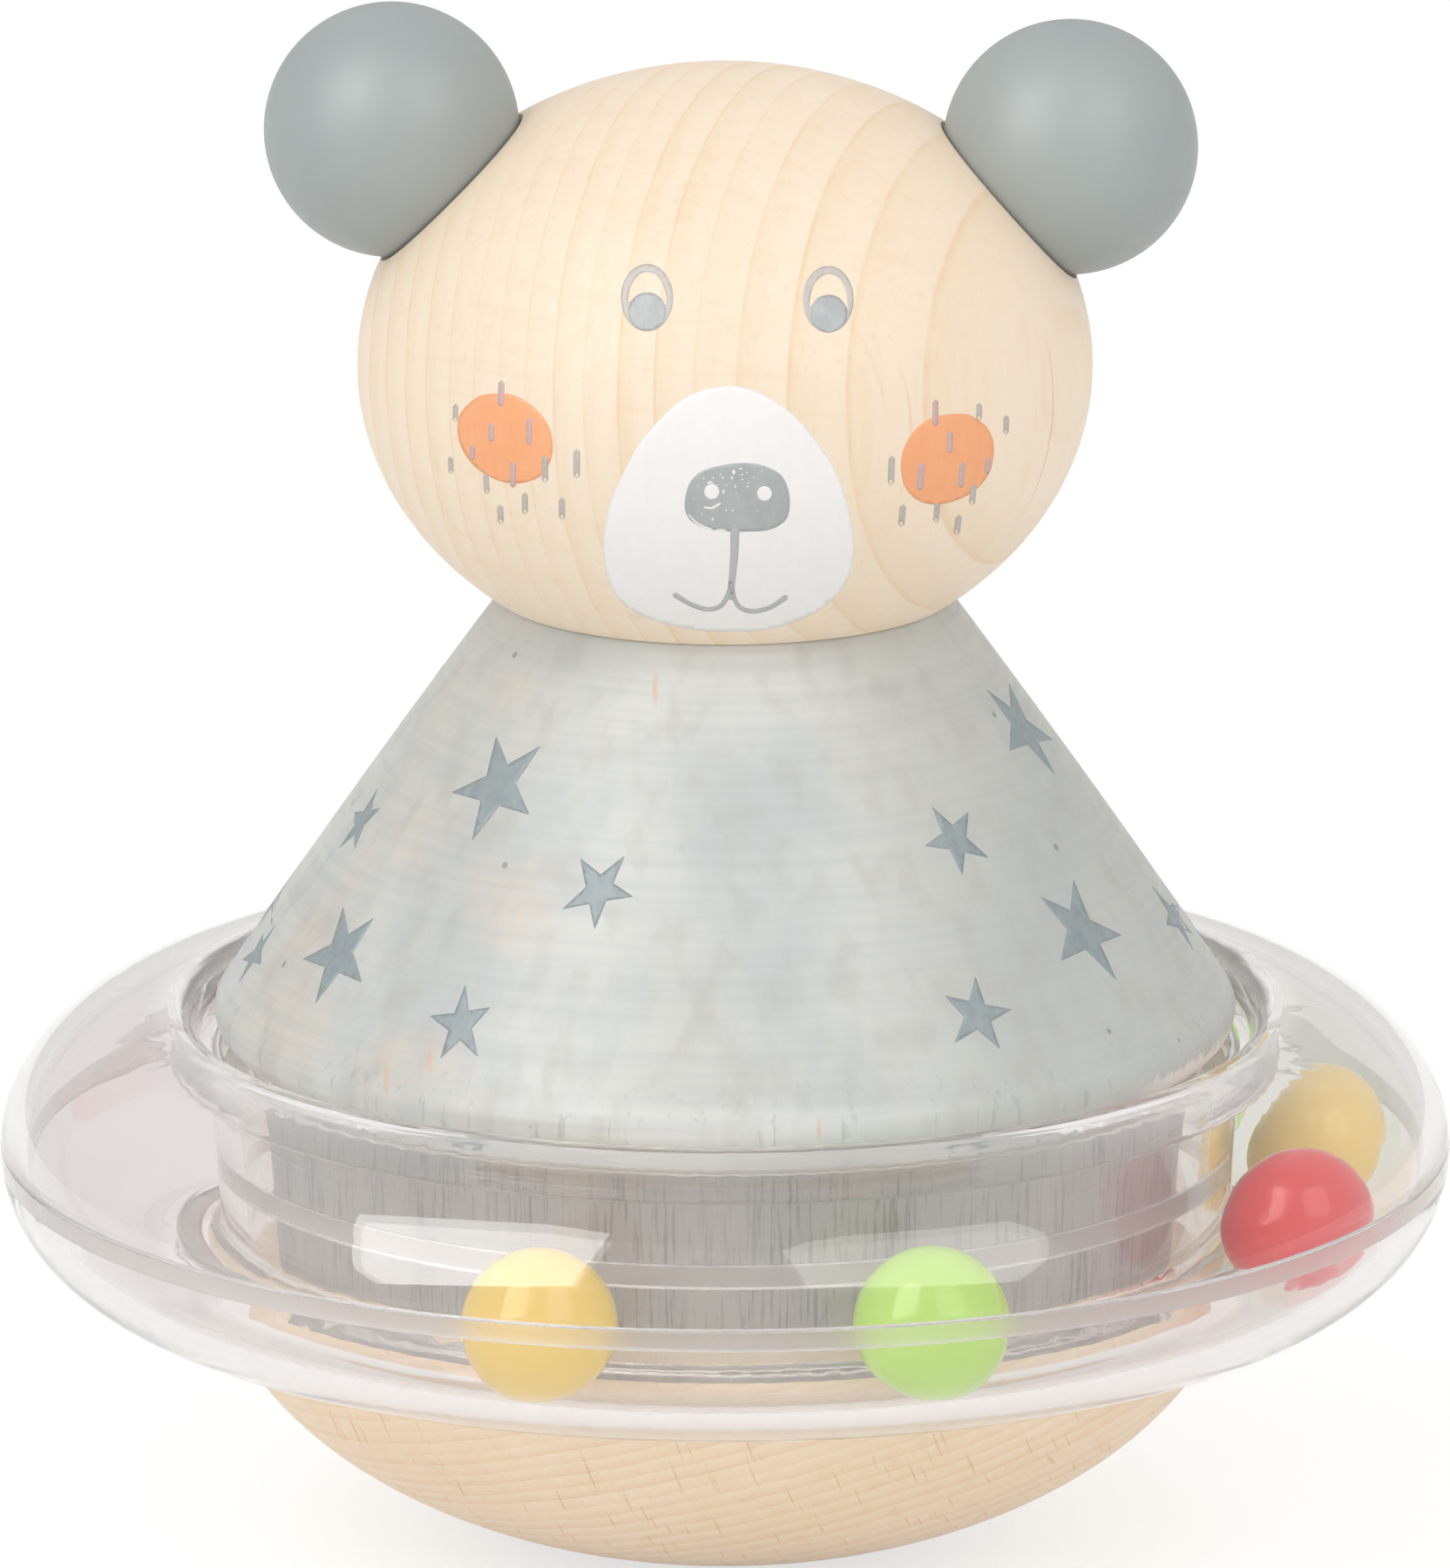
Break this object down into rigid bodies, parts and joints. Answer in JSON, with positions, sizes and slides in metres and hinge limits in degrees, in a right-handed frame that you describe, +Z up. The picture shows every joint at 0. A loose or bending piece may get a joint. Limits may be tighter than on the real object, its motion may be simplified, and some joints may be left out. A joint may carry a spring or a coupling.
{
  "type": "roly poly toy",
  "caption": "Wooden roly-poly animal figure on a weighted domed base, with round ears and a clear ring of loose rattle beads round its waist.",
  "frame": {"origin": "centre of the small sanded foot at the bottom of the domed base", "axes": "+Z up along the figure's turned axis; the face looks along -Y; +X is the viewer's right"},
  "size_m": [0.1096, 0.1096, 0.1181],
  "materials": {
    "natural_wood": "fine-sanded pale beech, clear waxed",
    "grey_stained_wood": "translucent light grey stain with the grain showing",
    "grey_painted_wood": "satin slate grey paint",
    "dowel_wood": "plain beech pin, glued in",
    "red_lacquered_wood": "gloss coral red lacquer",
    "yellow_lacquered_wood": "gloss pale yellow lacquer",
    "green_lacquered_wood": "gloss lime green lacquer",
    "clear_plastic": "clear moulded plastic, polished",
    "iron_weight": "plain grey iron, bevelled edges"
  },
  "bodies": {
    "figure": {"base": "natural_wood", "ballast_weight": "iron_weight", "body_cone": "grey_stained_wood", "head": "natural_wood", "left_ear": "grey_painted_wood", "right_ear": "grey_painted_wood", "body_dowel": "dowel_wood", "neck_dowel": "dowel_wood", "left_ear_dowel": "dowel_wood", "right_ear_dowel": "dowel_wood"},
    "rattle_ring": {"ring_upper_shell": "clear_plastic", "ring_lower_shell": "clear_plastic"},
    "yellow_bead_front": {"yellow_bead_front": "yellow_lacquered_wood"},
    "green_bead_front": {"green_bead_front": "green_lacquered_wood"},
    "red_bead_side": {"red_bead_side": "red_lacquered_wood"},
    "yellow_bead_side": {"yellow_bead_side": "yellow_lacquered_wood"},
    "green_bead_back": {"green_bead_back": "green_lacquered_wood"},
    "red_bead_back": {"red_bead_back": "red_lacquered_wood"}
  },
  "joints": [
    {"name": "ring_spin", "type": "hinge", "parent": "figure", "child": "rattle_ring", "pos_m": [0, 0, 0.031], "axis": [0, 0, 1], "continuous": true},
    {"name": "yellow_bead_front_roll", "type": "hinge", "parent": "rattle_ring", "child": "yellow_bead_front", "pos_m": [0, 0, 0.0288], "axis": [0, 0, 1], "range_deg": [-61.4, 10.4]},
    {"name": "green_bead_front_roll", "type": "hinge", "parent": "rattle_ring", "child": "green_bead_front", "pos_m": [0, 0, 0.0288], "axis": [0, 0, 1], "range_deg": [-10.4, 16.9]},
    {"name": "red_bead_side_roll", "type": "hinge", "parent": "rattle_ring", "child": "red_bead_side", "pos_m": [0, 0, 0.0288], "axis": [0, 0, 1], "range_deg": [-16.9, 7.9]},
    {"name": "yellow_bead_side_roll", "type": "hinge", "parent": "rattle_ring", "child": "yellow_bead_side", "pos_m": [0, 0, 0.0288], "axis": [0, 0, 1], "range_deg": [-7.9, 8.9]},
    {"name": "green_bead_back_roll", "type": "hinge", "parent": "rattle_ring", "child": "green_bead_back", "pos_m": [0, 0, 0.0288], "axis": [0, 0, 1], "range_deg": [-8.9, 28.9]},
    {"name": "red_bead_back_roll", "type": "hinge", "parent": "rattle_ring", "child": "red_bead_back", "pos_m": [0, 0, 0.0288], "axis": [0, 0, 1], "range_deg": [-28.9, 61.4]}
  ]
}
